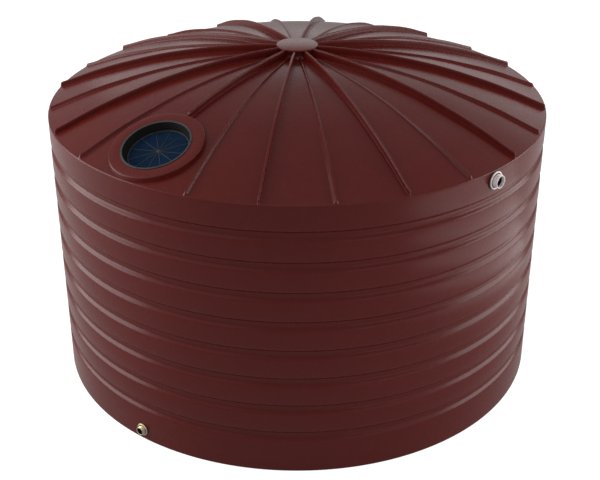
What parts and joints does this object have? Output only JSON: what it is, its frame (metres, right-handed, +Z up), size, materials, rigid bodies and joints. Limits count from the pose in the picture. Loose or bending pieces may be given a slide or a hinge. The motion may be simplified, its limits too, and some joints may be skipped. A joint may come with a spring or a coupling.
{
  "type": "polyethylene water tank",
  "caption": "Round polyethylene rainwater tank with a ribbed dome roof, grooved wall, sloping strainer inlet, overflow and bottom outlet.",
  "frame": {"origin": "middle of the tank's round underside, on the level it stands on", "axes": "+Z up along the tank's axis; -Y is the front, the manhole strainer and the outlet face front left, the overflow front right"},
  "size_m": [3.5, 3.5, 2.3459],
  "materials": {
    "tank_plastic": "deep red-brown moulded polyethylene with a low satin sheen",
    "strainer_ring": "thin dull steel ring",
    "strainer_basket": "black perforated basket wall",
    "strainer_mesh": "fine woven mesh, dark blue",
    "strainer_spoke": "thin grey-brown moulded spokes",
    "seal_rubber": "black rubber washer",
    "fitting_plastic": "pale grey threaded tank fitting",
    "outlet_brass": "pale cast brass threaded outlet"
  },
  "bodies": {
    "root": {"base_floor": "tank_plastic", "wall_segment_01": "tank_plastic", "wall_segment_02": "tank_plastic", "wall_segment_03": "tank_plastic", "wall_segment_04": "tank_plastic", "wall_segment_05": "tank_plastic", "wall_segment_06": "tank_plastic", "wall_segment_07": "tank_plastic", "wall_segment_08": "tank_plastic", "wall_segment_09": "tank_plastic", "wall_segment_10": "tank_plastic", "wall_segment_11": "tank_plastic", "wall_segment_12": "tank_plastic", "roof_sector_01": "tank_plastic", "roof_sector_02": "tank_plastic", "roof_sector_03": "tank_plastic", "roof_sector_04": "tank_plastic", "roof_sector_05": "tank_plastic", "roof_sector_06": "tank_plastic", "roof_sector_07": "tank_plastic", "roof_sector_08": "tank_plastic", "roof_sector_09": "tank_plastic", "roof_sector_10": "tank_plastic", "roof_sector_11": "tank_plastic", "roof_sector_12": "tank_plastic", "roof_hub": "tank_plastic", "manhole_collar": "tank_plastic", "strainer_rim": "strainer_ring", "strainer_basket": "strainer_basket", "strainer_lower_ring": "strainer_ring", "strainer_mesh": "strainer_mesh", "strainer_spokes": "strainer_spoke", "overflow_fitting": "fitting_plastic", "outlet_fitting": "outlet_brass", "fitting_gaskets": "seal_rubber", "fitting_nuts": "fitting_plastic"}
  },
  "joints": []
}
